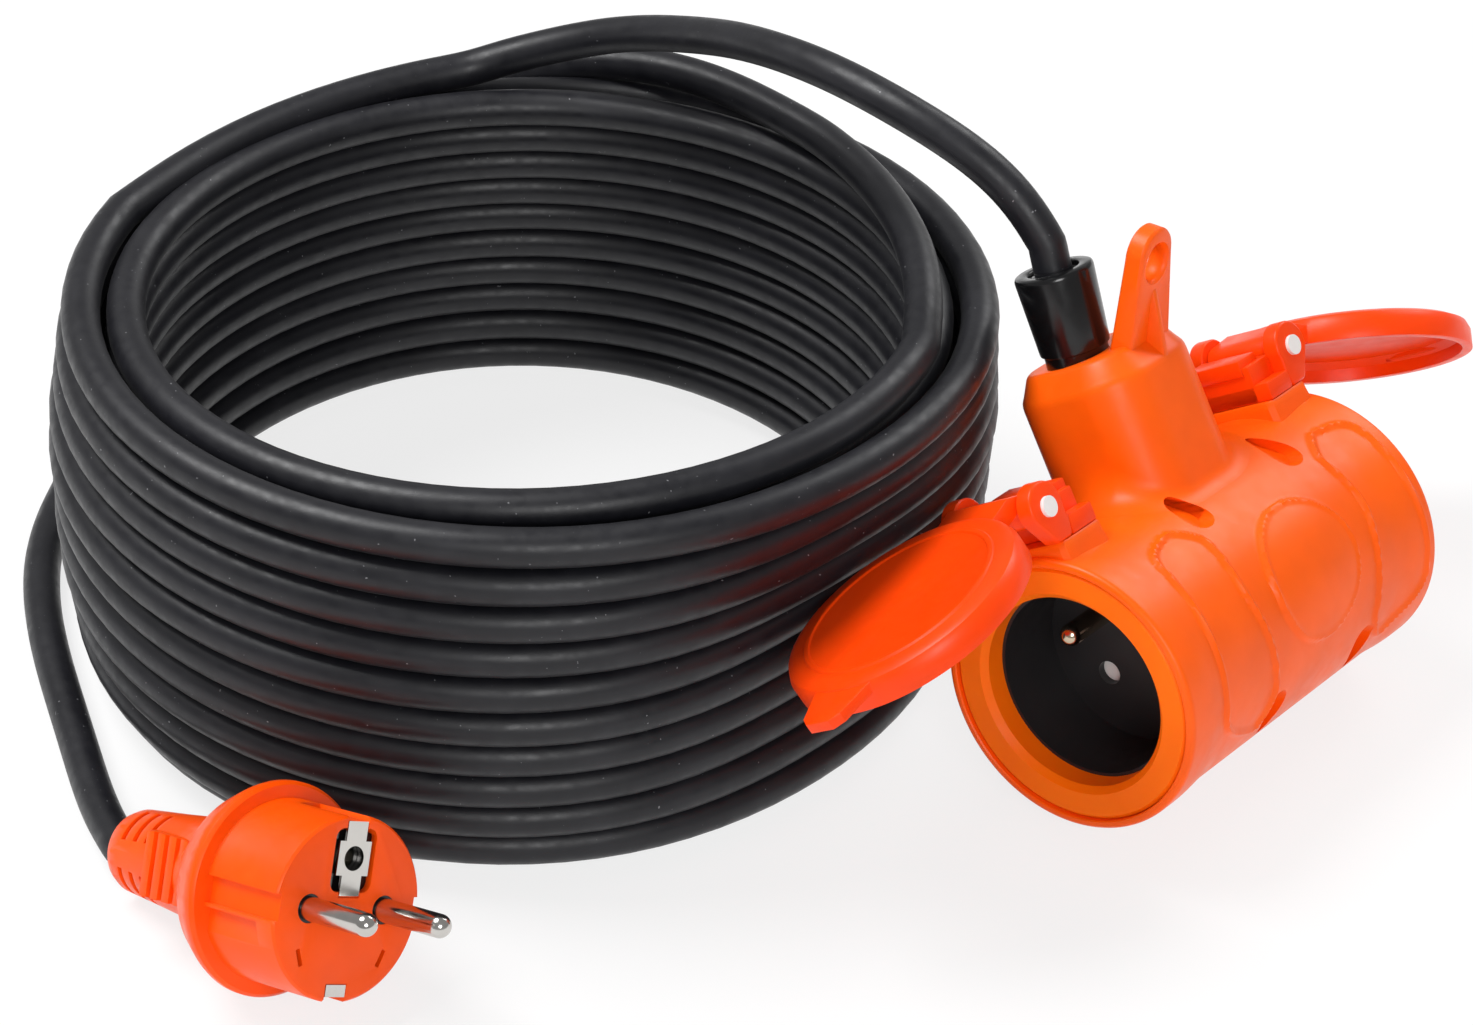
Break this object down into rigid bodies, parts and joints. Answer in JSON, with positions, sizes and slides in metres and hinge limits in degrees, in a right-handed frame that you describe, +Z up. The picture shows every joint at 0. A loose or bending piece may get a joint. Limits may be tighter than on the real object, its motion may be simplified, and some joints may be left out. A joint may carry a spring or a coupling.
{
  "type": "extension cord",
  "caption": "Outdoor extension cord: a two-way socket block with hinged lids and a hanging eye, a coiled black rubber cord and a moulded plug.",
  "frame": {"origin": "on the floor under the middle of the socket block with its open lids; the cord and the plug lie outside that box", "axes": "+Z up; +Y along the socket block towards its rear outlet; the coil lies towards -X"},
  "size_m": [0.2872, 0.3212, 0.1336],
  "materials": {
    "housing": "satin moulded orange, slightly glossy edges",
    "signal": "satin red-orange",
    "bezel": "soft bright orange, satin",
    "black_moulding": "glossy black moulding",
    "insert": "fine-grained matt black",
    "white": "plain white",
    "nickel": "nickel plate, softly polished",
    "brass": "bright brass",
    "cord": "matt black rubber sheath",
    "core_line": "brown insulation",
    "core_neutral": "blue insulation",
    "core_earth": "green insulation with a yellow stripe"
  },
  "bodies": {
    "socket_and_cord": {"socket_housing": "housing", "cable_gland": "black_moulding", "front_bezel": "bezel", "rear_bezel": "bezel", "front_insert": "insert", "rear_insert": "insert", "front_face_plate": "insert", "rear_face_plate": "insert", "front_earth_pin": "nickel", "rear_earth_pin": "nickel", "front_contact_block": "insert", "rear_contact_block": "insert", "front_line_contact": "brass", "front_neutral_contact": "brass", "rear_line_contact": "brass", "rear_neutral_contact": "brass", "line_bus_bar": "brass", "neutral_bus_bar": "brass", "earth_bus_bar": "brass", "terminal_screws": "nickel", "front_hinge_bracket": "signal", "rear_hinge_bracket": "signal", "front_hinge_pin": "white", "rear_hinge_pin": "white", "cord_clamp": "black_moulding", "cord_clamp_screws": "nickel", "socket_cord_end": "cord", "line_core": "core_line", "neutral_core": "core_neutral", "earth_core": "core_earth", "plug_body": "signal", "plug_carrier": "black_moulding", "plug_pins": "nickel", "plug_earth_clip": "nickel", "plug_crimps": "brass", "plug_cord_end": "cord", "plug_line_core": "core_line", "plug_neutral_core": "core_neutral", "plug_earth_core": "core_earth", "cord_coil": "cord", "cord_socket_lead": "cord", "cord_plug_lead": "cord"},
    "front_cover": {"front_lid": "signal"},
    "rear_cover": {"rear_lid": "signal"},
    "front_gate": {"front_shutter": "white"},
    "rear_gate": {"rear_shutter": "white"}
  },
  "joints": [
    {"name": "front_lid_hinge", "type": "hinge", "parent": "socket_and_cord", "child": "front_cover", "pos_m": [-0.01197, -0.04427, 0.06986], "axis": [0.8434, 0.0375, 0.536], "range_deg": [0, 73]},
    {"name": "rear_lid_hinge", "type": "hinge", "parent": "socket_and_cord", "child": "rear_cover", "pos_m": [-0.01197, 0.0495, 0.0633], "axis": [0.8434, 0.0375, 0.536], "range_deg": [-64.5, 45]},
    {"name": "front_shutter_slide", "type": "slide", "parent": "socket_and_cord", "child": "front_gate", "axis": [-0.5373, -0.0588, -0.8413], "range_m": [0, 0.0058], "stiffness_N_per_m": 150, "springref_m": -0.001},
    {"name": "rear_shutter_slide", "type": "slide", "parent": "socket_and_cord", "child": "rear_gate", "axis": [-0.5373, -0.0588, -0.8413], "range_m": [0, 0.0058], "stiffness_N_per_m": 150, "springref_m": -0.001}
  ]
}
